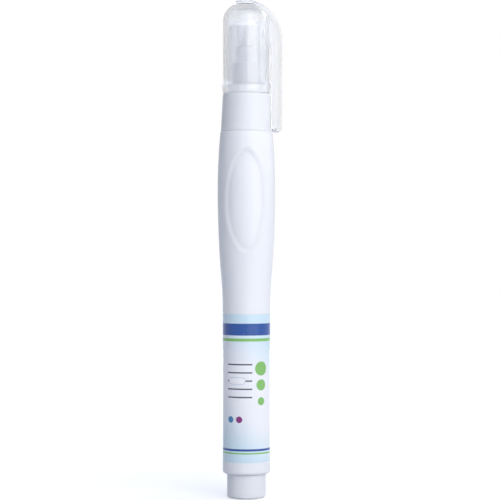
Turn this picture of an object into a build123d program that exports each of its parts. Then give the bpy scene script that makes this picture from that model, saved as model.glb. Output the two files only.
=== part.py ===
"""Correction pen: a squeezable barrel, a needle-valve nozzle with a metal tip, and a clear push-on cap."""

import math
import os

from build123d import *

# Barrel: a straight rear, a swelling for the fingers and an open mouth at the front
barrel_length = 92.75
barrel_radius = 6.45
barrel_wall = 0.95
barrel_rear_land = 0.05
bulge_rise = 1.36
bulge_to_front = 15.9
swell_length = 31.5
swell_hollow_share = 0.2
front_rise = 0.63
front_round = 0.25
mouth_wall = 1.23

# Squeeze pads: oval panels of the thin wall, each with a skirt behind the edge of its window
pad_side_margin = 2.31
pad_half_height = 14.1
pad_gap = 0.06
pad_recess = 0.3
pad_edge_round = 0.2
pad_travel = 1.2
pad_to_mouth = 0.5
pad_meeting_gap = 0.3
pad_skirt_overlap = 0.6
pad_skirt_thickness = 0.5
pad_skirt_gap = 0.1

# Label: a film wrapped round the straight part, in a recess that leaves it flush
label_thickness = 0.08
label_gap = 0.02
label_rear_margin = 3.45
label_front_margin = 2.0
label_seam = 0.5

# End plug: a cup pressed into the rear, whose post also takes the cap
post_length = 6.55
post_round = 0.8
post_step = 0.2
plug_depth = 8.0
plug_wall = 1.1
plug_floor = 1.2
plug_clearance = 0.05
plug_snap_depth = 4.0

# Snap beads of the plug and the nozzle, in grooves of the barrel
snap_radius = 0.3
snap_clearance = 0.05

# Nozzle head: collar, neck for the cap, stepped nozzle, and a skirt in the barrel's mouth
collar_length = 10.3
collar_seam_step = 0.13
collar_cap_step = 0.05
collar_seam_round = 0.25
collar_shoulder_round = 0.45
collar_ceiling = 1.4
neck_length = 2.3
neck_chamfer_share = 0.27
neck_step = 1.4
nozzle_length = 6.0
nozzle_taper = 0.35
nozzle_round = 0.4
spigot_length = 4.4
spigot_step = 0.81
spigot_round = 0.5
spigot_bead = 0.12
spigot_bead_height = 1.0
spigot_bead_from_front = 2.4
nozzle_skirt_length = 3.7
nozzle_skirt_wall = 1.1
nozzle_skirt_clearance = 0.04
mouth_relief = 0.5
inlet_tube_length = 4.6
inlet_tube_wall = 1.1

# Metal tip: a turned cone with a shank in the nozzle and a seat for the needle
tip_length = 4.7
tip_base_radius = 1.45
tip_nose_radius = 0.72
tip_nose_round = 0.2
tip_flange_radius = 1.75
tip_flange_thickness = 0.45
tip_shank_radius = 1.3
tip_shank_length = 4.6
tip_fit = 0.01
orifice_radius = 0.42
orifice_length = 1.5
tip_bore_radius = 0.85

# Valve needle: pin, sealing cone, body, spring flange and guide stem
pin_radius = 0.36
pin_protrusion = 0.35
needle_body_radius = 0.7
needle_seat_gap = 0.04
needle_flange_radius = 1.3
needle_flange_thickness = 0.6
needle_flange_to_shank = 0.8
needle_stem_radius = 0.5
needle_stem_reach = 2.4

# Valve spring and the retainer that it stands on
spring_wire_radius = 0.14
spring_mean_radius = 1.15
spring_turns = 6
spring_seat_gap = 0.02
valve_chamber_radius = 1.6
retainer_radius = 2.2
retainer_length = 4.0
retainer_fit = 0.01
retainer_lift = 1.0
guide_clearance = 0.06
flow_slot_count = 4
flow_slot_width = 0.9
flow_slot_depth = 0.9

# Mixing ball, loose in the barrel
ball_radius = 2.5
ball_floor_gap = 0.05

# Cap: a clear domed shell with a rim bead, a round boss, and a channel-section clip that starts on its top
cap_clearance = 0.08
cap_wall = 1.0
cap_height = 24.25
cap_rim_gap = 0.05
cap_lead_chamfer = 0.15
cap_bead_height = 3.4
cap_bead_bulge = 0.22
dome_height = 4.5
dome_top_margin = 0.05
boss_radius = 2.8
boss_rise = 0.25
boss_height = 15.2
boss_azimuth = 16
clip_clearance = 0.12
clip_depth = 2.49
clip_strip = 1.1
clip_width = 6.1
clip_side_wall = 0.9
clip_bend_start = 1.3
clip_past_seam = 0.3
clip_slot_height = 13.1
clip_toe_round = 0.7
clip_nose_flat = 0.1
clip_corner_round = 2.0
clip_edge_round = 0.4
clip_hollow_round = 0.5
clip_hollow_rise = 1.2

# Cap liner: a sleeve over the nozzle and a tube over the tip, on a post with a stud in the cap's ceiling
liner_clearance = 0.1
liner_cap_gap = 0.15
liner_rim_gap = 0.3
liner_web = 1.0
liner_tip_gap = 0.35
liner_tube_clearance = 0.2
liner_tube_wall = 0.55
liner_tube_gap = 0.1
liner_post_radius = 2.5
liner_ceiling_margin = 0.35
stud_radius = 1.45
stud_length = 0.6
stud_clearance = 0.05

# Levels along the pen, from the rear face at zero to the front
z_barrel_rear = post_length
z_barrel_front = z_barrel_rear + barrel_length
z_bulge = z_barrel_front - bulge_to_front
z_swell = z_bulge - swell_length
mouth_depth = nozzle_skirt_length + mouth_relief
z_mouth = z_barrel_front - mouth_depth
z_pad = z_mouth - pad_to_mouth - pad_half_height
z_label_rear = z_barrel_rear + label_rear_margin
z_label_front = z_swell - label_front_margin
z_plug_front = z_barrel_rear + plug_depth
z_plug_snap = z_barrel_rear + plug_snap_depth
z_nozzle_skirt = z_barrel_front - nozzle_skirt_length
z_nozzle_snap = z_barrel_front - nozzle_skirt_length / 2
z_shoulder = z_barrel_front + collar_length
z_neck = z_shoulder + neck_length
z_step = z_neck + nozzle_length
z_spigot = z_step + spigot_length
z_tip = z_spigot + tip_length
z_ceiling = z_shoulder - collar_ceiling
z_inlet = z_ceiling - inlet_tube_length
z_shank = z_spigot - tip_shank_length
z_flange_front = z_shank - needle_flange_to_shank
z_flange_rear = z_flange_front - needle_flange_thickness
z_retainer_front = z_shoulder + retainer_lift
z_retainer_rear = z_retainer_front - retainer_length
z_cap_rim = z_shoulder + cap_rim_gap
z_cap_flat = z_cap_rim + cap_height
z_cap_ceiling = z_cap_flat - cap_wall
z_dome = z_cap_flat - dome_height
z_clip_end = z_barrel_front - clip_past_seam
z_clip_top = z_cap_flat + clip_strip
z_clip_slot = z_cap_rim + clip_slot_height
z_boss = z_cap_rim + boss_height
z_liner_rim = z_neck + liner_rim_gap
z_liner_tube = z_spigot + liner_tube_gap
z_liner_web = z_tip + pin_protrusion + liner_tip_gap
z_liner_top = z_liner_web + liner_web

# Radii that follow from the barrel, outwards to the cap
barrel_bore = barrel_radius - barrel_wall
bulge_radius = barrel_radius + bulge_rise
bulge_bore = bulge_radius - barrel_wall
pad_half_width = bulge_radius - pad_side_margin
barrel_front_radius = barrel_radius + front_rise
mouth_radius = barrel_front_radius - mouth_wall
plug_radius = barrel_bore - plug_clearance
post_radius = plug_radius - post_step
neck_radius = post_radius
nozzle_base_radius = neck_radius - neck_step
nozzle_front_radius = nozzle_base_radius - nozzle_taper
spigot_radius = nozzle_front_radius - spigot_step
spigot_wall = spigot_radius - tip_shank_radius - tip_fit
neck_chamfer = neck_step * neck_chamfer_share
cap_bore = neck_radius + cap_clearance
cap_radius = cap_bore + cap_wall
collar_rear_radius = barrel_front_radius - collar_seam_step
collar_front_radius = cap_radius + collar_cap_step
nozzle_skirt_radius = mouth_radius - nozzle_skirt_clearance
nozzle_skirt_bore = nozzle_skirt_radius - nozzle_skirt_wall
clip_inner = barrel_front_radius + clip_clearance
clip_outer = clip_inner + clip_depth
clip_bend_radius = clip_outer + clip_bend_start
dome_top_radius = clip_width / 2 + dome_top_margin
liner_radius = cap_bore - liner_cap_gap
liner_bore = nozzle_base_radius + liner_clearance
liner_tube_bore = tip_flange_radius + liner_tube_clearance
liner_tube_radius = liner_tube_bore + liner_tube_wall


def swelling(inset):
    """Line of the swelling, drawn in by inset, from the straight part out to the widest place."""
    start = Vector(barrel_radius - inset, z_swell)
    widest = Vector(bulge_radius - inset, z_bulge)
    turn = start + (widest - start) * swell_hollow_share
    hollow = TangentArc(start, turn, tangent=(0, 1))
    TangentArc(turn, widest, tangent=hollow % 1)
    return start, widest


def outer_front(inset):
    """Outer line of the barrel from the widest place to the front end, drawn in by inset."""
    front = Vector(barrel_front_radius - inset, z_barrel_front)
    TangentArc((bulge_radius - inset, z_bulge), front, tangent=(0, 1))
    return front


def inner_front(inset):
    """Line of the hollow from the widest place in to the mouth and out to the front, drawn in by inset."""
    widest = Vector(bulge_bore - inset, z_bulge)
    mouth = Vector(mouth_radius - inset, z_mouth)
    turn = (widest + mouth) * 0.5
    hollow = TangentArc(widest, turn, tangent=(0, 1))
    TangentArc(turn, mouth, tangent=hollow % 1)
    front = Vector(mouth_radius - inset, z_barrel_front)
    Line(mouth, front)
    return front


def window_plane(side, depth=0.0):
    """Plane across a squeeze window, facing out of the front (-1) or rear (1) of the barrel."""
    return Plane(origin=(0, side * depth, z_pad), x_dir=(1, 0, 0), z_dir=(0, side, 0))


def outer_rim(edges):
    """Those edges of a window or pad that lie outside the widest place of the hollow."""
    slanting = edges.filter_by(GeomType.CIRCLE, reverse=True)
    return slanting.filter_by(lambda edge: math.hypot((edge @ 0.5).X, (edge @ 0.5).Y) > bulge_bore)


pad_back = pad_travel + pad_meeting_gap
os.makedirs("parts", exist_ok=True)

# Barrel
with BuildPart() as barrel:
    with BuildSketch(Plane.XZ):
        with BuildLine():
            outer_start, _ = swelling(0)
            outer_end = outer_front(0)
            inner_start, _ = swelling(barrel_wall)
            inner_end = inner_front(0)
            Line(outer_end, inner_end)
            label_floor = barrel_radius - label_thickness - label_gap
            Polyline(
                inner_start,
                (barrel_bore, z_barrel_rear),
                (barrel_radius, z_barrel_rear),
                (barrel_radius, z_label_rear),
                (label_floor, z_label_rear),
                (label_floor, z_label_front),
                (barrel_radius, z_label_front),
                outer_start,
            )
        make_face()
    revolve(axis=Axis.Z)
    rear_edges = barrel.edges().filter_by(GeomType.CIRCLE).group_by(Axis.Z)[0]
    fillet(rear_edges.sort_by(SortBy.RADIUS)[-1], radius=barrel_wall - barrel_rear_land)
    front_edges = barrel.edges().filter_by(GeomType.CIRCLE).group_by(Axis.Z)[-1]
    fillet(front_edges.sort_by(SortBy.RADIUS)[-1], radius=front_round)
    with BuildSketch(Plane.XZ):
        with Locations((plug_radius, z_plug_snap), (nozzle_skirt_radius, z_nozzle_snap)):
            Circle(snap_radius + snap_clearance)
    revolve(axis=Axis.Z, mode=Mode.SUBTRACT)
    for side in (-1, 1):
        with BuildSketch(window_plane(side, pad_back)):
            Ellipse(pad_half_width + pad_gap, pad_half_height + pad_gap)
        extrude(amount=bulge_radius, mode=Mode.SUBTRACT)
        fillet(outer_rim(barrel.edges(Select.LAST)), radius=pad_edge_round)
barrel.part.label = "barrel"
export_step(barrel.part, "parts/barrel.step")

# Squeeze pads, front and rear
for side, pad_name in ((-1, "squeeze_pad_front"), (1, "squeeze_pad_rear")):
    skirt_outer = pad_skirt_gap
    skirt_inner = pad_skirt_gap + pad_skirt_thickness
    with BuildPart() as skirt:
        with BuildSketch(Plane.XZ):
            with BuildLine():
                outer_start, _ = swelling(barrel_wall + skirt_outer)
                outer_end = inner_front(skirt_outer)
                inner_start, _ = swelling(barrel_wall + skirt_inner)
                inner_end = inner_front(skirt_inner)
                Line(outer_start, inner_start)
                Line(outer_end, inner_end)
            make_face()
        revolve(axis=Axis.Z)
        with BuildSketch(window_plane(side, pad_back)):
            Ellipse(pad_half_width + pad_skirt_overlap, pad_half_height + pad_skirt_overlap)
        extrude(amount=bulge_radius, mode=Mode.INTERSECT)
    with BuildPart() as pad:
        with BuildSketch(Plane.XZ):
            with BuildLine():
                outer_start, _ = swelling(pad_recess)
                outer_end = outer_front(pad_recess)
                inner_start, _ = swelling(barrel_wall + skirt_inner)
                inner_end = inner_front(skirt_inner)
                Line(outer_start, inner_start)
                Line(outer_end, inner_end)
            make_face()
        revolve(axis=Axis.Z)
        with BuildSketch(window_plane(side, pad_back)):
            Ellipse(pad_half_width, pad_half_height)
        extrude(amount=bulge_radius, mode=Mode.INTERSECT)
        fillet(outer_rim(pad.edges()), radius=pad_edge_round)
        add(skirt.part)
    pad.part.label = pad_name
    export_step(pad.part, f"parts/{pad_name}.step")

# Label sleeve, open along a seam at the rear
with BuildPart() as label_sleeve:
    with BuildSketch(Plane.XY.offset(z_label_rear)):
        Circle(barrel_radius)
        Circle(barrel_radius - label_thickness, mode=Mode.SUBTRACT)
        with Locations((0, barrel_radius)):
            Rectangle(label_seam, barrel_radius, mode=Mode.SUBTRACT)
    extrude(amount=z_label_front - z_label_rear)
label_sleeve.part.label = "label_sleeve"
export_step(label_sleeve.part, "parts/label_sleeve.step")

# End plug
with BuildPart() as end_plug:
    with BuildSketch(Plane.XZ):
        with BuildLine():
            Polyline(
                (0, 0),
                (post_radius, 0),
                (post_radius, z_barrel_rear),
                (plug_radius, z_barrel_rear),
                (plug_radius, z_plug_front),
                (plug_radius - plug_wall, z_plug_front),
                (plug_radius - plug_wall, plug_floor),
                (0, plug_floor),
                close=True,
            )
        make_face()
        with Locations((plug_radius, z_plug_snap)):
            Circle(snap_radius)
    revolve(axis=Axis.Z)
    fillet(end_plug.edges().group_by(Axis.Z)[0], radius=post_round)
    lead_edges = end_plug.edges().group_by(Axis.Z)[-1]
    chamfer(lead_edges.sort_by(SortBy.RADIUS)[-1], length=plug_wall / 2)
end_plug.part.label = "end_plug"
export_step(end_plug.part, "parts/end_plug.step")

# Nozzle head
with BuildPart() as nozzle_head:
    with BuildSketch(Plane.XZ):
        with BuildLine():
            Polyline(
                (retainer_radius, z_inlet),
                (retainer_radius, z_retainer_front),
                (valve_chamber_radius, z_retainer_front),
                (valve_chamber_radius, z_shank),
                (tip_shank_radius + tip_fit, z_shank),
                (tip_shank_radius + tip_fit, z_spigot),
                (spigot_radius, z_spigot),
                (spigot_radius, z_step),
                (nozzle_front_radius, z_step),
                (nozzle_base_radius, z_neck),
                (neck_radius, z_neck),
                (neck_radius, z_shoulder),
                (collar_front_radius, z_shoulder),
                (collar_rear_radius, z_barrel_front),
                (nozzle_skirt_radius, z_barrel_front),
                (nozzle_skirt_radius, z_nozzle_skirt),
                (nozzle_skirt_bore, z_nozzle_skirt),
                (nozzle_skirt_bore, z_ceiling),
                (retainer_radius + inlet_tube_wall, z_ceiling),
                (retainer_radius + inlet_tube_wall, z_inlet),
                close=True,
            )
        make_face()
        with Locations((nozzle_skirt_radius, z_nozzle_snap)):
            Circle(snap_radius)
        with Locations((spigot_radius, z_spigot - spigot_bead_from_front)):
            Ellipse(spigot_bead, spigot_bead_height / 2)
    revolve(axis=Axis.Z)
    rings = nozzle_head.edges().filter_by(GeomType.CIRCLE)
    front_ring = rings.group_by(Axis.Z)[-1].sort_by(SortBy.RADIUS)[-1]
    fillet(front_ring, radius=min(spigot_round, spigot_wall / 2))
    step_edges = rings.filter_by_position(Axis.Z, z_step, z_step)
    fillet(step_edges.sort_by(SortBy.RADIUS)[-1], radius=nozzle_round)
    neck_edges = rings.filter_by_position(Axis.Z, z_neck, z_neck)
    chamfer(neck_edges.sort_by(SortBy.RADIUS)[-1], length=neck_chamfer)
    shoulder_edges = rings.filter_by_position(Axis.Z, z_shoulder, z_shoulder)
    fillet(shoulder_edges.sort_by(SortBy.RADIUS)[-1], radius=collar_shoulder_round)
    seam_edges = rings.filter_by_position(Axis.Z, z_barrel_front, z_barrel_front)
    fillet(seam_edges.sort_by(SortBy.RADIUS)[-1], radius=collar_seam_round)
nozzle_head.part.label = "nozzle_head"
export_step(nozzle_head.part, "parts/nozzle_head.step")

# Metal tip
z_orifice = z_tip - orifice_length
with BuildPart() as metal_tip:
    with BuildSketch(Plane.XZ):
        with BuildLine():
            Polyline(
                (orifice_radius, z_tip),
                (orifice_radius, z_orifice),
                (tip_bore_radius, z_orifice - (tip_bore_radius - orifice_radius)),
                (tip_bore_radius, z_shank),
                (tip_shank_radius, z_shank),
                (tip_shank_radius, z_spigot),
                (tip_flange_radius, z_spigot),
                (tip_flange_radius, z_spigot + tip_flange_thickness),
                (tip_base_radius, z_spigot + tip_flange_thickness),
                (tip_nose_radius, z_tip),
                close=True,
            )
        make_face()
    revolve(axis=Axis.Z)
    nose_edges = metal_tip.edges().group_by(Axis.Z)[-1]
    fillet(nose_edges.sort_by(SortBy.RADIUS)[-1], radius=tip_nose_round)
metal_tip.part.label = "metal_tip"
export_step(metal_tip.part, "parts/metal_tip.step")

# Valve needle, whose cone lies a seat gap below the tip's seat
z_cone = z_orifice + orifice_radius - pin_radius - needle_seat_gap
with BuildPart() as valve_needle:
    with BuildSketch(Plane.XZ):
        with BuildLine():
            Polyline(
                (0, z_tip + pin_protrusion),
                (pin_radius, z_tip + pin_protrusion),
                (pin_radius, z_cone),
                (needle_body_radius, z_cone - (needle_body_radius - pin_radius)),
                (needle_body_radius, z_flange_front),
                (needle_flange_radius, z_flange_front),
                (needle_flange_radius, z_flange_rear),
                (needle_stem_radius, z_flange_rear),
                (needle_stem_radius, z_retainer_front - needle_stem_reach),
                (0, z_retainer_front - needle_stem_reach),
                close=True,
            )
        make_face()
    revolve(axis=Axis.Z)
    fillet(valve_needle.edges().group_by(Axis.Z)[-1], radius=pin_radius / 2)
valve_needle.part.label = "valve_needle"
export_step(valve_needle.part, "parts/valve_needle.step")

# Spring retainer, with a guide hole for the stem and slots for the fluid
with BuildPart() as spring_retainer:
    with BuildSketch(Plane.XY.offset(z_retainer_rear)):
        Circle(retainer_radius - retainer_fit)
        Circle(needle_stem_radius + guide_clearance, mode=Mode.SUBTRACT)
        with PolarLocations(retainer_radius, flow_slot_count):
            Rectangle(2 * flow_slot_depth, flow_slot_width, mode=Mode.SUBTRACT)
    extrude(amount=retainer_length)
spring_retainer.part.label = "spring_retainer"
export_step(spring_retainer.part, "parts/spring_retainer.step")

# Valve spring, wound as arcs of less than a quarter turn between points of a helix
spring_rise = spring_seat_gap + spring_wire_radius
z_spring_rear = z_retainer_front + spring_rise
z_spring_front = z_flange_rear - spring_rise
spring_pitch = (z_spring_front - z_spring_rear) / spring_turns


def spring_point(turn):
    """Point of the spring's centre line, and its direction there, after so many turns."""
    angle = 2 * math.pi * turn
    across = Vector(math.cos(angle), math.sin(angle)) * spring_mean_radius
    along = Vector(-math.sin(angle), math.cos(angle)) * (2 * math.pi * spring_mean_radius)
    point = across + Vector(0, 0, z_spring_rear + spring_pitch * turn)
    return point, (along + Vector(0, 0, spring_pitch)).normalized()


with BuildPart() as valve_spring:
    with BuildLine() as spring_path:
        for quarter in range(4 * spring_turns):
            start, start_way = spring_point(quarter / 4)
            end, end_way = spring_point((quarter + 1) / 4)
            chord = end - start
            reach = chord.dot(start_way + end_way)
            turning = 2 * (1 - start_way.dot(end_way))
            handle = (math.sqrt(reach**2 + turning * chord.dot(chord)) - reach) / turning
            middle = (start + end + (start_way - end_way) * handle) * 0.5
            first = TangentArc(start, middle, tangent=start_way)
            TangentArc(middle, end, tangent=first % 1)
    with BuildSketch(Plane(origin=spring_path.line @ 0, z_dir=spring_path.line % 0)):
        Circle(spring_wire_radius)
    sweep()
valve_spring.part.label = "valve_spring"
export_step(valve_spring.part, "parts/valve_spring.step")
turn_points = [spring_point(step / 24)[0] for step in range(24 * spring_turns + 1)]
turn_gap = min(
    (turn_points[first] - turn_points[later]).length - 2 * spring_wire_radius
    for first in range(len(turn_points))
    for later in range(first + 12, len(turn_points))
)
print(f"valve_spring: least gap between turns {turn_gap:.2f} mm")

# Mixing ball
with BuildPart() as mixing_ball:
    with Locations((0, 0, plug_floor + ball_floor_gap + ball_radius)):
        Sphere(ball_radius)
mixing_ball.part.label = "mixing_ball"
export_step(mixing_ball.part, "parts/mixing_ball.step")

# Clip: a channel with its strip outside, rounded at its start on the dome and at its end
z_clip_bend = z_clip_top - clip_bend_radius
with BuildPart() as clip:
    with BuildSketch(Plane.XZ) as clip_side:
        with BuildLine():
            bend_top = Vector(-clip_bend_start, z_clip_top)
            TangentArc((clip_outer, z_clip_bend), bend_top, tangent=(0, 1))
            Polyline(
                bend_top,
                (-clip_width / 2, z_clip_top),
                (-clip_width / 2, z_cap_flat),
                (0, z_cap_flat),
                (0, z_clip_end),
                (clip_outer, z_clip_end),
                (clip_outer, z_clip_bend),
            )
        make_face()
        nose = clip_side.vertices().group_by(Axis.Y)[0].sort_by(Axis.X)[-1]
        fillet(nose, radius=clip_depth - clip_toe_round - clip_nose_flat)
    extrude(amount=clip_width / 2, both=True)
    with BuildSketch(Plane.XY.offset(z_clip_end)):
        Circle(clip_width / 2)
        Rectangle(clip_outer, clip_width, align=(Align.MIN, Align.CENTER))
    extrude(amount=z_clip_top - z_clip_end, mode=Mode.INTERSECT)
    strip_edges = clip.edges().filter_by(Axis.Z).filter_by_position(Axis.X, clip_outer, clip_outer)
    fillet(strip_edges, radius=clip_edge_round)
    with BuildSketch(Plane.YZ.offset(-clip_width / 2)) as clip_front:
        with Locations((0, z_clip_end)):
            Rectangle(clip_width, z_clip_top - z_clip_end, align=(Align.CENTER, Align.MIN))
        fillet(clip_front.vertices().group_by(Axis.Y)[0], radius=clip_corner_round)
    extrude(amount=clip_outer + clip_width / 2, mode=Mode.INTERSECT)
    with BuildSketch(Plane.XZ) as clip_hollow:
        with BuildLine():
            strip_inside = clip_outer - clip_strip
            hollow_top = Vector(-clip_bend_start, z_cap_flat)
            TangentArc((strip_inside, z_clip_bend), hollow_top, tangent=(0, 1))
            Polyline(
                hollow_top,
                (-clip_bend_start, z_clip_end + clip_strip),
                (strip_inside, z_clip_end + clip_strip),
                (strip_inside, z_clip_bend),
            )
        make_face()
        with Locations((0, z_dome + clip_hollow_rise)):
            upper_half = (Align.CENTER, Align.MIN)
            Rectangle(2 * clip_outer, clip_bend_radius, align=upper_half, mode=Mode.SUBTRACT)
        hollow_nose = clip_hollow.vertices().group_by(Axis.Y)[0].sort_by(Axis.X)[-1]
        fillet(hollow_nose, radius=clip_hollow_round)
    extrude(amount=clip_width / 2 - clip_side_wall, both=True, mode=Mode.SUBTRACT)
    with BuildSketch(Plane.XZ):
        with BuildLine():
            toe_start = Vector(clip_inner + clip_toe_round, z_clip_end)
            toe_end = Vector(clip_inner, z_clip_end + clip_toe_round)
            TangentArc(toe_start, toe_end, tangent=(-1, 0))
            Polyline(toe_end, (clip_inner, z_clip_slot), (0, z_clip_slot), (0, z_clip_end), toe_start)
        make_face()
    revolve(axis=Axis.Z, mode=Mode.SUBTRACT)

# Cap shell: the solid outline with clip and boss, then the hollow and the stud's socket
with BuildPart() as boss:
    with BuildSketch(Plane.XY.offset(z_boss - boss_radius)):
        Circle(cap_radius + boss_rise)
    extrude(amount=2 * boss_radius)
    boss_way = Vector(0, -1, 0).rotate(Axis.Z, boss_azimuth)
    with BuildSketch(Plane(origin=(0, 0, z_boss), z_dir=boss_way)):
        Circle(boss_radius)
    extrude(amount=2 * cap_radius, mode=Mode.INTERSECT)

with BuildPart() as cap_shell:
    with BuildSketch(Plane.XZ):
        with BuildLine():
            bead_top = Vector(cap_radius, z_cap_rim + cap_bead_height)
            bead_middle = Vector(cap_radius + cap_bead_bulge, z_cap_rim + cap_bead_height / 2)
            ThreePointArc((cap_radius, z_cap_rim), bead_middle, bead_top)
            Line(bead_top, (cap_radius, z_dome))
            TangentArc((cap_radius, z_dome), (dome_top_radius, z_cap_flat), tangent=(0, 1))
            Polyline(
                (dome_top_radius, z_cap_flat),
                (0, z_cap_flat),
                (0, z_cap_rim),
                (cap_radius, z_cap_rim),
            )
        make_face()
    revolve(axis=Axis.Z)
    add(clip.part)
    add(boss.part)
    with BuildSketch(Plane.XZ):
        with BuildLine():
            ceiling_edge = Vector(liner_post_radius + liner_ceiling_margin, z_cap_ceiling)
            TangentArc((cap_bore, z_dome), ceiling_edge, tangent=(0, 1))
            Polyline(
                ceiling_edge,
                (0, z_cap_ceiling),
                (0, z_cap_rim),
                (cap_bore, z_cap_rim),
                (cap_bore, z_dome),
            )
        make_face()
    revolve(axis=Axis.Z, mode=Mode.SUBTRACT)
    with Locations(Location((0, 0, z_cap_ceiling), (180, 0, 0))):
        Hole(stud_radius + stud_clearance, depth=stud_length + stud_clearance)
    rim_edges = cap_shell.edges().filter_by(GeomType.CIRCLE)
    rim_edges = rim_edges.filter_by_position(Axis.Z, z_cap_rim, z_cap_rim)
    chamfer(rim_edges.sort_by(SortBy.RADIUS)[0], length=cap_lead_chamfer)
cap_shell.part.label = "cap_shell"
export_step(cap_shell.part, "parts/cap_shell.step")

# Cap liner
with BuildPart() as cap_liner:
    with BuildSketch(Plane.XZ):
        with BuildLine():
            Polyline(
                (liner_bore, z_liner_rim),
                (liner_radius, z_liner_rim),
                (liner_radius, z_liner_top),
                (liner_post_radius, z_liner_top),
                (liner_post_radius, z_cap_ceiling),
                (stud_radius, z_cap_ceiling),
                (stud_radius, z_cap_ceiling + stud_length),
                (0, z_cap_ceiling + stud_length),
                (0, z_liner_web),
                (liner_tube_bore, z_liner_web),
                (liner_tube_bore, z_liner_tube),
                (liner_tube_radius, z_liner_tube),
                (liner_tube_radius, z_liner_web),
                (liner_bore, z_liner_web),
                close=True,
            )
        make_face()
    revolve(axis=Axis.Z)
cap_liner.part.label = "cap_liner"
export_step(cap_liner.part, "parts/cap_liner.step")
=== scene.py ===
"""Looks of the correction pen: white squeezable barrel, printed film label, clear cap over a metal tip."""

import math

import bmesh
import bpy
from mathutils import Matrix, Vector


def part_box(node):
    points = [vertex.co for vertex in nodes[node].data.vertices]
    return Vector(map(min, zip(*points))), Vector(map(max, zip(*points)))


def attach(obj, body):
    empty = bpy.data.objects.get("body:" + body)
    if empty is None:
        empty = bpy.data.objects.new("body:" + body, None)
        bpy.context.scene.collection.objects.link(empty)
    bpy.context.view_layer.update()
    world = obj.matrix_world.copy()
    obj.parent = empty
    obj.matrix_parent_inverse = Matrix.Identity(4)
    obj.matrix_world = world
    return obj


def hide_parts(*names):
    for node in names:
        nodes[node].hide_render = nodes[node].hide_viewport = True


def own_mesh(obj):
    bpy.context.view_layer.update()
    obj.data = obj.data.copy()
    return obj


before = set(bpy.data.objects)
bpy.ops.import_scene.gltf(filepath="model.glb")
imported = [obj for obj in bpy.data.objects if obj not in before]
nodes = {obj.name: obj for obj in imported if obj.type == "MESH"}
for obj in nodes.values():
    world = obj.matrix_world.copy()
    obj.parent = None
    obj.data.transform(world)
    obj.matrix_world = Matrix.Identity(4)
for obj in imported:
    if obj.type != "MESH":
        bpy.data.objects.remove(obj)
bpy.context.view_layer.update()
scene = bpy.context.scene
scene.view_settings.view_transform = "Standard"
# Light that is caught between the walls of the clear cap needs more turns than usual to find its way out
scene.cycles.max_bounces = 32
scene.cycles.glossy_bounces = 24
scene.cycles.transmission_bounces = 32

MM = 0.001


# Small helpers
def linear(code):
    """A colour written as an sRGB hex value, as linear red, green, blue and alpha."""
    parts = [int(code[i : i + 2], 16) / 255 for i in (1, 3, 5)]
    parts = [c / 12.92 if c <= 0.04045 else ((c + 0.055) / 1.055) ** 2.4 for c in parts]
    return (*parts, 1.0)


def add(tree, kind, settings=None, inputs=None):
    """Adds one node with its settings. An input is a socket to link or a plain value."""
    made = tree.nodes.new(kind)
    for name, value in (settings or {}).items():
        setattr(made, name, value)
    for key, value in (inputs or {}).items():
        if isinstance(value, bpy.types.NodeSocket):
            tree.links.new(value, made.inputs[key])
        else:
            made.inputs[key].default_value = value
    return made


def start_material(name):
    """An empty node material with its output, and the piece's own coordinates in millimetres."""
    material = bpy.data.materials.new(name)
    material.use_nodes = True
    tree = material.node_tree
    tree.nodes.clear()
    output = add(tree, "ShaderNodeOutputMaterial")
    place = add(tree, "ShaderNodeTexCoord").outputs["Object"]
    place = add(
        tree, "ShaderNodeVectorMath", {"operation": "SCALE"}, {0: place, "Scale": 1 / MM}
    ).outputs[0]
    return material, tree, output, place


def dress(material, *names):
    """Gives CAD nodes a material."""
    for name in names:
        nodes[name].data.materials.clear()
        nodes[name].data.materials.append(material)


def make_piece(name, shape, material):
    """Turns a finished bmesh into an object of the scene with one material."""
    mesh = bpy.data.meshes.new(name)
    shape.to_mesh(mesh)
    shape.free()
    mesh.materials.append(material)
    piece = bpy.data.objects.new(name, mesh)
    scene.collection.objects.link(piece)
    return piece


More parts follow.
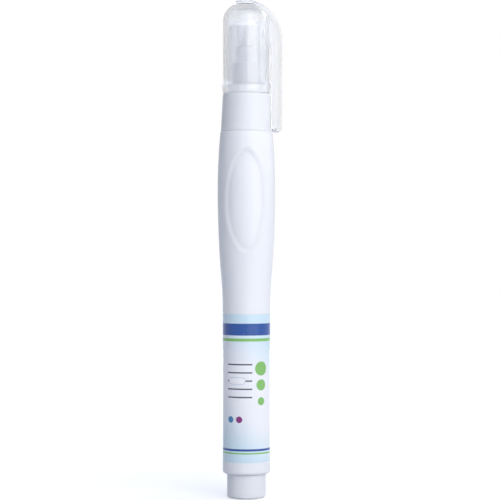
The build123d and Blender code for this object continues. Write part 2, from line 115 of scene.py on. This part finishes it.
# White plastic
def moulded_polypropylene(name, dark, light):
    """White polypropylene from a finely blasted tool: satin, slightly translucent, a cool white."""
    material, tree, output, place = start_material(name)
    # Pigment clouds of about 8 mm, barely seen
    cloud = add(
        tree, "ShaderNodeTexNoise", None, {"Vector": place, "Scale": 0.12, "Detail": 3.0}
    ).outputs["Fac"]
    colour = add(
        tree,
        "ShaderNodeMix",
        {"data_type": "RGBA"},
        {"Factor": cloud, "A": linear(dark), "B": linear(light)},
    ).outputs["Result"]
    # The tool's blasting is about 0.06 mm, too fine for the render, so it is drawn at 0.25 mm
    grain = add(
        tree, "ShaderNodeTexNoise", None, {"Vector": place, "Scale": 4.0, "Detail": 2.0}
    ).outputs["Fac"]
    roughness = add(
        tree,
        "ShaderNodeMapRange",
        None,
        {"Value": grain, "From Min": 0.3, "From Max": 0.7, "To Min": 0.3, "To Max": 0.38},
    ).outputs[0]
    bump = add(
        tree, "ShaderNodeBump", None, {"Height": grain, "Strength": 0.03, "Distance": 0.02 * MM}
    ).outputs[0]
    # The tool's two halves meet at the pen's sides and leave a parting line that fades out in 0.1 mm
    sideways = add(tree, "ShaderNodeSeparateXYZ", None, {0: place}).outputs["Y"]
    from_line = add(tree, "ShaderNodeMath", {"operation": "ABSOLUTE"}, {0: sideways}).outputs[0]
    ridge = add(
        tree,
        "ShaderNodeMapRange",
        None,
        {"Value": from_line, "From Max": 0.1, "To Min": 1.0, "To Max": 0.0},
    ).outputs[0]
    bump = add(
        tree,
        "ShaderNodeBump",
        None,
        {"Height": ridge, "Strength": 0.4, "Distance": 0.03 * MM, "Normal": bump},
    ).outputs[0]
    shader = add(
        tree,
        "ShaderNodeBsdfPrincipled",
        None,
        {
            "Base Color": colour,
            "Roughness": roughness,
            "Normal": bump,
            "IOR": 1.49,
            "Subsurface Weight": 0.12,
            "Subsurface Radius": (1.0, 1.0, 1.1),
            "Subsurface Scale": 0.8 * MM,
        },
    )
    tree.links.new(shader.outputs[0], output.inputs[0])
    return material


# Clear plastics
def clear_plastic(name, body, haze, ior, streak_scale):
    """A clear moulding: a hardly tinted body, and a polish that varies along the flow of the melt."""
    material, tree, output, place = start_material(name)
    # The melt flowed along the pen, so its streaks are drawn out that way
    flow = add(
        tree, "ShaderNodeMapping", None, {"Vector": place, "Scale": (1.0, 1.0, 0.15)}
    ).outputs[0]
    streaks = add(
        tree, "ShaderNodeTexNoise", None, {"Vector": flow, "Scale": streak_scale, "Detail": 2.0}
    ).outputs["Fac"]
    roughness = add(
        tree, "ShaderNodeMapRange", None, {"Value": streaks, "To Min": haze / 2, "To Max": haze}
    ).outputs[0]
    bump = add(
        tree, "ShaderNodeBump", None, {"Height": streaks, "Strength": 0.05, "Distance": 0.1 * MM}
    ).outputs[0]
    shader = add(
        tree,
        "ShaderNodeBsdfPrincipled",
        None,
        {
            "Base Color": linear(body),
            "Roughness": roughness,
            "Normal": bump,
            "IOR": ior,
            "Transmission Weight": 0.94,
        },
    )
    # The lamps shine through to what is inside, as they do through thin clear walls
    see_through = add(tree, "ShaderNodeBsdfTransparent", None, {"Color": linear(body)})
    shadow = add(tree, "ShaderNodeLightPath").outputs["Is Shadow Ray"]
    mixed = add(
        tree,
        "ShaderNodeMixShader",
        None,
        {0: shadow, 1: shader.outputs[0], 2: see_through.outputs[0]},
    )
    tree.links.new(mixed.outputs[0], output.inputs[0])
    return material


# Label, in millimetres on the unrolled film, with heights above the floor
FILM_RADIUS = 6.45
INK_EDGE = 0.06
GREEN, BLUE, DARK = "#86C26A", "#23529F", "#3B3D48"
TEAL, PLUM = "#3A86B8", "#8A2A78"
STROKE, STROKE_EDGE = "#FAFBFE", "#C3CEE4"
GROUND_MIDDLE, GROUND_ENDS = "#F4F6FB", "#D2EAF6"
FADE_MIDDLE, FADE_SLANT = 29.0, 0.6
FADE_START, FADE_END = 5.0, 19.0
# Half the length of a ring's line, which is more than half way round
ALL_ROUND = 25


def printed_shape(tree, sheet, centre, half, corner):
    """How much ink a rounded rectangle of the print lays on each point of the unrolled film."""
    inner = (half[0] - corner, half[1] - corner, 0)
    steps = (("SUBTRACT", (*centre, 0)), ("ABSOLUTE", None), ("SUBTRACT", inner), ("MAXIMUM", (0, 0, 0)))
    offset = sheet
    for operation, other in steps:
        inputs = {0: offset} if other is None else {0: offset, 1: other}
        offset = add(tree, "ShaderNodeVectorMath", {"operation": operation}, inputs).outputs[0]
    reach = add(tree, "ShaderNodeVectorMath", {"operation": "LENGTH"}, {0: offset}).outputs["Value"]
    return add(
        tree,
        "ShaderNodeMapRange",
        None,
        {
            "Value": reach,
            "From Min": corner - INK_EDGE,
            "From Max": corner + INK_EDGE,
            "To Min": 1.0,
            "To Max": 0.0,
        },
    ).outputs[0]


def printed_film():
    """Polypropylene film with flat inks under a clear lacquer: glossy, with clean edges of colour."""
    material, tree, output, place = start_material("printed_polypropylene_film")
    parts = add(tree, "ShaderNodeSeparateXYZ", None, {0: place}).outputs
    forwards = add(
        tree, "ShaderNodeMath", {"operation": "MULTIPLY"}, {0: parts["Y"], 1: -1.0}
    ).outputs[0]
    turn = add(
        tree, "ShaderNodeMath", {"operation": "ARCTAN2"}, {0: parts["X"], 1: forwards}
    ).outputs[0]
    across = add(
        tree, "ShaderNodeMath", {"operation": "MULTIPLY"}, {0: turn, 1: FILM_RADIUS}
    ).outputs[0]
    sheet = add(tree, "ShaderNodeCombineXYZ", None, {"X": across, "Y": parts["Z"]}).outputs[0]
    # The ground fades on a slant from pale blue at both ends to white in the middle
    slant = add(
        tree, "ShaderNodeVectorMath", {"operation": "DOT_PRODUCT"}, {0: place, 1: (FADE_SLANT, 0, 1)}
    ).outputs["Value"]
    from_middle = add(
        tree, "ShaderNodeMath", {"operation": "SUBTRACT"}, {0: slant, 1: FADE_MIDDLE}
    ).outputs[0]
    from_middle = add(tree, "ShaderNodeMath", {"operation": "ABSOLUTE"}, {0: from_middle}).outputs[0]
    fade = add(
        tree,
        "ShaderNodeMapRange",
        {"interpolation_type": "SMOOTHSTEP"},
        {"Value": from_middle, "From Min": FADE_START, "From Max": FADE_END},
    ).outputs[0]
    colour = add(
        tree,
        "ShaderNodeMix",
        {"data_type": "RGBA"},
        {"Factor": fade, "A": linear(GROUND_MIDDLE), "B": linear(GROUND_ENDS)},
    ).outputs["Result"]
    # Each print is a colour, its centre, half its width and height, and the radius of its corners
    rings = [
        (BLUE, (0, 45.8), (ALL_ROUND, 1.6), 0.1),
        (GREEN, (0, 43.0), (ALL_ROUND, 0.4), 0.1),
        (BLUE, (0, 13.4), (ALL_ROUND, 0.3), 0.1),
        (GREEN, (0, 12.5), (ALL_ROUND, 0.2), 0.1),
    ]
    ruled_lines = [(DARK, (-2.0, 27.6 + 2.2 * row), (3.6, 0.18), 0.1) for row in range(5)]
    # A stroke of fluid covers part of the middle line
    stroke = [
        (STROKE_EDGE, (-2.7, 32.0), (2.5, 0.95), 0.95),
        (STROKE, (-2.7, 32.0), (2.35, 0.8), 0.8),
    ]
    dots = [(GREEN, (4.3, 35.3), 1.9), (GREEN, (4.3, 30.9), 1.5), (GREEN, (4.3, 26.5), 1.1)]
    dots += [(TEAL, (-4.6, 21.6), 0.9), (PLUM, (-2.0, 21.6), 0.9)]
    round_dots = [(code, centre, (radius, radius), radius) for code, centre, radius in dots]
    for code, centre, half, corner in rings + ruled_lines + stroke + round_dots:
        ink = printed_shape(tree, sheet, centre, half, corner)
        colour = add(
            tree,
            "ShaderNodeMix",
            {"data_type": "RGBA"},
            {"Factor": ink, "A": colour, "B": linear(code)},
        ).outputs["Result"]
    # The film lies on the barrel with waves of about 3 mm
    waves = add(
        tree, "ShaderNodeTexNoise", None, {"Vector": sheet, "Scale": 0.35, "Detail": 1.0}
    ).outputs["Fac"]
    roughness = add(
        tree, "ShaderNodeMapRange", None, {"Value": waves, "To Min": 0.2, "To Max": 0.3}
    ).outputs[0]
    bump = add(
        tree, "ShaderNodeBump", None, {"Height": waves, "Strength": 0.05, "Distance": 0.1 * MM}
    ).outputs[0]
    shader = add(
        tree,
        "ShaderNodeBsdfPrincipled",
        None,
        {"Base Color": colour, "Roughness": roughness, "Normal": bump, "IOR": 1.49},
    )
    tree.links.new(shader.outputs[0], output.inputs[0])
    return material


# Metals
def nickel_plated_brass():
    """Turned brass with bright nickel plating: mirror-like with fine turning rings."""
    material, tree, output, place = start_material("nickel_plated_brass_turned")
    # The tool's feed is about 0.05 mm, drawn at 0.1 mm so that the rings show
    rings = add(
        tree,
        "ShaderNodeTexWave",
        {"bands_direction": "Z"},
        {"Vector": place, "Scale": 3.1, "Distortion": 0.3},
    ).outputs["Fac"]
    roughness = add(
        tree, "ShaderNodeMapRange", None, {"Value": rings, "To Min": 0.12, "To Max": 0.24}
    ).outputs[0]
    bump = add(
        tree, "ShaderNodeBump", None, {"Height": rings, "Strength": 0.1, "Distance": 0.003 * MM}
    ).outputs[0]
    shader = add(
        tree,
        "ShaderNodeBsdfPrincipled",
        None,
        {"Base Color": linear("#C9C8C6"), "Metallic": 1.0, "Roughness": roughness, "Normal": bump},
    )
    tree.links.new(shader.outputs[0], output.inputs[0])
    return material


def drawn_steel():
    """Stainless wire, drawn through a die and tumbled: bright, with faint scratches all ways."""
    material, tree, output, place = start_material("stainless_steel_drawn")
    # Tumbling scratches are about 0.02 mm wide, drawn at 0.1 mm
    scratches = add(
        tree,
        "ShaderNodeTexNoise",
        None,
        {"Vector": place, "Scale": 10.0, "Detail": 4.0, "Distortion": 2.0},
    ).outputs["Fac"]
    roughness = add(
        tree, "ShaderNodeMapRange", None, {"Value": scratches, "To Min": 0.16, "To Max": 0.34}
    ).outputs[0]
    bump = add(
        tree, "ShaderNodeBump", None, {"Height": scratches, "Strength": 0.08, "Distance": 0.01 * MM}
    ).outputs[0]
    shader = add(
        tree,
        "ShaderNodeBsdfPrincipled",
        None,
        {"Base Color": linear("#B4B5B8"), "Metallic": 1.0, "Roughness": roughness, "Normal": bump},
    )
    tree.links.new(shader.outputs[0], output.inputs[0])
    return material


steel = drawn_steel()
barrel_white = moulded_polypropylene("moulded_polypropylene_white", "#EEF1F6", "#F2F4F8")
# The two ends are a shade greyer than the barrel
end_white = moulded_polypropylene("moulded_polypropylene_grey_white", "#E8EBF0", "#ECEEF2")
# Polystyrene bends the light strongly, so the shell has bright edges, with faint flow streaks of about 2 mm
shell_clear = clear_plastic("clear_polystyrene_moulded", "#FBFCFE", 0.24, 1.57, 0.5)
# Natural polypropylene bends it less and is a little greyer, with finer streaks of about 1.2 mm
liner_clear = clear_plastic("natural_polypropylene_moulded", "#F9FAFC", 0.2, 1.49, 0.8)
dress(barrel_white, "barrel", "squeeze_pad_front", "squeeze_pad_rear")
dress(end_white, "end_plug", "nozzle_head", "spring_retainer")
dress(printed_film(), "label_sleeve")
dress(shell_clear, "cap_shell")
dress(liner_clear, "cap_liner")
dress(nickel_plated_brass(), "metal_tip")
dress(steel, "valve_needle", "mixing_ball")


# Valve spring
def wound_spring():
    """The valve spring as one round wire, wound from the retainer up to the needle's flange."""
    low, high = (Vector(corner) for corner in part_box("valve_spring"))
    wire_radius, wire_sides = 0.14 * MM, 14
    turns, steps_per_turn = 6, 40
    coil_radius = high.x - wire_radius
    rise = high.z - low.z - 2 * wire_radius
    shape = bmesh.new()
    bmesh.ops.create_circle(shape, cap_ends=True, segments=wire_sides, radius=wire_radius)
    bmesh.ops.rotate(shape, verts=shape.verts, matrix=Matrix.Rotation(math.pi / 2, 3, "X"))
    bmesh.ops.translate(shape, verts=shape.verts, vec=(coil_radius, 0, low.z + wire_radius))
    steps = turns * steps_per_turn
    bmesh.ops.spin(
        shape,
        geom=[*shape.verts, *shape.edges, *shape.faces],
        axis=(0, 0, 1),
        dvec=(0, 0, rise / steps),
        angle=turns * 2 * math.pi,
        steps=steps,
    )
    bmesh.ops.remove_doubles(shape, verts=shape.verts, dist=wire_radius / 100)
    bmesh.ops.holes_fill(shape, edges=[edge for edge in shape.edges if edge.is_boundary])
    bmesh.ops.recalc_face_normals(shape, faces=shape.faces)
    spring = make_piece("valve_spring_wire", shape, steel)
    spring.data.shade_smooth()
    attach(spring, "pen_body")
    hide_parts("valve_spring")
    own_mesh(spring)


wound_spring()


# Pad rims
# The pad's window: half its width and height, and how far the pad lies below the barrel's skin
PAD_HALF_WIDTH, PAD_HALF_HEIGHT = 5.5 * MM, 14.1 * MM
PAD_RECESS = 0.3 * MM
# The swelling: its largest radius, how far that is from the barrel's mouth, and the arcs to both ends
WIDEST_RADIUS = 7.81 * MM
WIDEST_TO_MOUTH = 15.9 * MM
BEND_REAR, BEND_FRONT = 292.4 * MM, 173.5 * MM
# The rim: how far it reaches in over the pad and out over the barrel, and how high it lies above them
RIM_INNER_SIDES, RIM_INNER_ENDS = 1.15 * MM, 1.35 * MM
RIM_OUTER = 0.3 * MM
RIM_LIFT = 0.005 * MM
# At the sides, this share of the rise is a lip at the window's edge, and the rest is a long slope
LIP_SHARE = 0.22
RIM_STEPS_ROUND, RIM_STEPS_ACROSS = 200, 14
RIM_CREASE = math.radians(40)


def eased(share):
    """A rise from 0 to 1 that starts and ends level."""
    return share**2 * (3 - 2 * share)


def pad_rim(name, side):
    """The soft edge of a pad's window: a lip that slopes from the barrel's skin down to the pad."""
    pad_low, pad_high = (Vector(corner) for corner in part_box("squeeze_pad_front"))
    middle = (pad_low.z + pad_high.z) / 2
    widest = Vector(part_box("barrel")[1]).z - WIDEST_TO_MOUTH
    # The section runs up the slope from the pad to the barrel, and back underneath
    slope = [step / RIM_STEPS_ACROSS for step in range(RIM_STEPS_ACROSS + 1)]
    section = [(share, True) for share in slope] + [(share, False) for share in reversed(slope[:-1])]
    last = len(section) - 1
    shape = bmesh.new()
    bmesh.ops.create_grid(shape, x_segments=RIM_STEPS_ROUND, y_segments=last, size=0.5)
    # The flat grid is wrapped round the window: its x becomes the turn, and its y a point of the section
    for vert in shape.verts:
        turn = 2 * math.pi * (vert.co.x + 0.5)
        share, on_top = section[round((vert.co.y + 0.5) * last)]
        at_ends = math.sin(turn) ** 2
        inner = RIM_INNER_SIDES + (RIM_INNER_ENDS - RIM_INNER_SIDES) * at_ends
        offset = RIM_OUTER * share - inner * (1 - share)
        lip = min(max((offset + RIM_OUTER) / (2 * RIM_OUTER), 0), 1)
        crisp = LIP_SHARE * (1 - at_ends)
        rise = crisp * eased(lip) + (1 - crisp) * eased(share)
        lift = RIM_LIFT + PAD_RECESS * rise * on_top
        outward = Vector((PAD_HALF_HEIGHT * math.cos(turn), PAD_HALF_WIDTH * math.sin(turn)))
        outward.normalize()
        across = PAD_HALF_WIDTH * math.cos(turn) + offset * outward.x
        along = middle + PAD_HALF_HEIGHT * math.sin(turn) + offset * outward.y
        bend = BEND_FRONT if along > widest else BEND_REAR
        skin = WIDEST_RADIUS - bend + math.sqrt(bend**2 - (along - widest) ** 2)
        vert.co = (across, side * math.sqrt((skin - PAD_RECESS + lift) ** 2 - across**2), along)
    bmesh.ops.remove_doubles(shape, verts=shape.verts, dist=RIM_LIFT / 10)
    bmesh.ops.recalc_face_normals(shape, faces=shape.faces)
    rim = make_piece(name, shape, barrel_white)
    rim.data.shade_smooth()
    rim.data.set_sharp_from_angle(angle=RIM_CREASE)
    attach(rim, "pen_body")


pad_rim("pad_rim_front", -1)
pad_rim("pad_rim_rear", 1)


# Floor
FLOOR_HALF_WIDTH = 6.0
# The lamps light the floor so far from the pen, in millimetres
LIT_REACH = 600


def seen_rays(tree):
    """1 for rays from the camera, a reflection or a clear piece, and 0 for soft light."""
    path = add(tree, "ShaderNodeLightPath").outputs
    seen = path["Is Camera Ray"]
    for kind in ("Is Glossy Ray", "Is Transmission Ray"):
        seen = add(tree, "ShaderNodeMath", {"operation": "MAXIMUM"}, {0: seen, 1: path[kind]}).outputs[0]
    return seen


def white_paper():
    """Matt paper, white to the camera, which keeps the pen's shadow and throws back little light."""
    material, tree, output, place = start_material("white_paper_floor")
    paper = add(tree, "ShaderNodeBsdfDiffuse", None, {"Color": linear("#F7F8FA")})
    # The paper's own white makes up for the lamps where their light ends
    near = add(
        tree, "ShaderNodeVectorMath", {"operation": "SCALE"}, {0: place, "Scale": 1 / LIT_REACH}
    ).outputs[0]
    near = add(
        tree, "ShaderNodeTexGradient", {"gradient_type": "QUADRATIC_SPHERE"}, {0: near}
    ).outputs["Fac"]
    level = add(
        tree, "ShaderNodeMapRange", None, {"Value": near, "To Min": 0.69, "To Max": 0.3}
    ).outputs[0]
    white = add(tree, "ShaderNodeEmission", None, {"Color": (1, 1, 1, 1), "Strength": level})
    seen = add(tree, "ShaderNodeAddShader", None, {0: paper.outputs[0], 1: white.outputs[0]})
    dull = add(tree, "ShaderNodeBsdfDiffuse", None, {"Color": linear("#BFC1C6")})
    mixed = add(
        tree, "ShaderNodeMixShader", None, {0: seen_rays(tree), 1: dull.outputs[0], 2: seen.outputs[0]}
    )
    tree.links.new(mixed.outputs[0], output.inputs[0])
    return material


shape = bmesh.new()
bmesh.ops.create_grid(shape, x_segments=1, y_segments=1, size=FLOOR_HALF_WIDTH)
make_piece("studio_floor", shape, white_paper())


# World
def studio_world():
    """White behind the pen and a cool soft light from all round, both weaker from the left."""
    world = bpy.data.worlds.new("studio")
    scene.world = world
    world.use_nodes = True
    tree = world.node_tree
    tree.nodes.clear()
    way = add(tree, "ShaderNodeTexCoord").outputs["Generated"]
    sideways = add(tree, "ShaderNodeSeparateXYZ", None, {0: way}).outputs["X"]
    open_side = add(
        tree,
        "ShaderNodeMapRange",
        {"interpolation_type": "SMOOTHSTEP"},
        {"Value": sideways, "From Min": -0.8, "From Max": -0.35},
    ).outputs[0]
    soft = add(
        tree, "ShaderNodeMapRange", None, {"Value": open_side, "To Min": 0.35, "To Max": 0.5}
    ).outputs[0]
    clear = add(
        tree, "ShaderNodeMapRange", None, {"Value": open_side, "To Min": 0.76, "To Max": 0.8}
    ).outputs[0]
    path = add(tree, "ShaderNodeLightPath").outputs
    ambient = add(tree, "ShaderNodeBackground", None, {"Color": linear("#DCE4F8"), "Strength": soft})
    mirrored = add(tree, "ShaderNodeBackground", None, {"Color": (1, 1, 1, 1), "Strength": clear})
    backdrop = add(tree, "ShaderNodeBackground", None, {"Color": (1, 1, 1, 1), "Strength": 1.0})
    mixed = add(
        tree,
        "ShaderNodeMixShader",
        None,
        {0: seen_rays(tree), 1: ambient.outputs[0], 2: mirrored.outputs[0]},
    )
    mixed = add(
        tree,
        "ShaderNodeMixShader",
        None,
        {0: path["Is Camera Ray"], 1: mixed.outputs[0], 2: backdrop.outputs[0]},
    )
    output = add(tree, "ShaderNodeOutputWorld")
    tree.links.new(mixed.outputs[0], output.inputs[0])


studio_world()


# Lamps
def softbox(name, azimuth, distance, height, size, power, colour, mirrored=True):
    """An upright rectangular soft light, turned to the pen from an azimuth right of the camera."""
    lamp = bpy.data.lights.new(name, "AREA")
    lamp.shape = "RECTANGLE"
    lamp.size, lamp.size_y = size
    lamp.energy = power
    lamp.color = linear(colour)[:3]
    holder = bpy.data.objects.new(name, lamp)
    scene.collection.objects.link(holder)
    turn = math.radians(azimuth)
    holder.location = (distance * math.sin(turn), -distance * math.cos(turn), height)
    holder.rotation_euler = (math.radians(90), 0, turn)
    holder.visible_camera = False
    holder.visible_glossy = mirrored
    holder.visible_transmission = mirrored


# The key shows in the gloss on the right. The wrap carries it further round and doesn't show in the gloss
softbox("key_softbox", 34, 0.42, 0.28, (0.45, 0.5), 1.22, "#FFF9F1")
softbox("key_wrap", 15, 0.44, 0.28, (0.45, 0.5), 0.64, "#F6F9FF", mirrored=False)
softbox("front_fill", -12, 0.9, 0.5, (0.5, 0.5), 0.7, "#F4F6FF")
softbox("side_fill", 105, 0.6, 0.35, (0.4, 0.5), 0.6, "#FFFFFF")
softbox("back_fill", 186, 0.7, 0.25, (0.3, 0.5), 2.2, "#F4F6FF", mirrored=False)

# Camera: level with the middle of the pen, which stands upright in a square picture
CAMERA_DISTANCE = 475 * MM
CAMERA_HEIGHT = 67.17 * MM
CAMERA_ASIDE = 0.98 * MM
PICTURE_WIDTH = 135.925 * MM
SENSOR_WIDTH = 36

camera = bpy.data.cameras.new("photo_camera")
camera.sensor_width = SENSOR_WIDTH
camera.lens = SENSOR_WIDTH * CAMERA_DISTANCE / PICTURE_WIDTH
camera.clip_start = 10 * MM
tripod = bpy.data.objects.new("photo_camera", camera)
tripod.location = (CAMERA_ASIDE, -CAMERA_DISTANCE, CAMERA_HEIGHT)
tripod.rotation_euler = (math.radians(90), 0, 0)
scene.collection.objects.link(tripod)
scene.camera = tripod
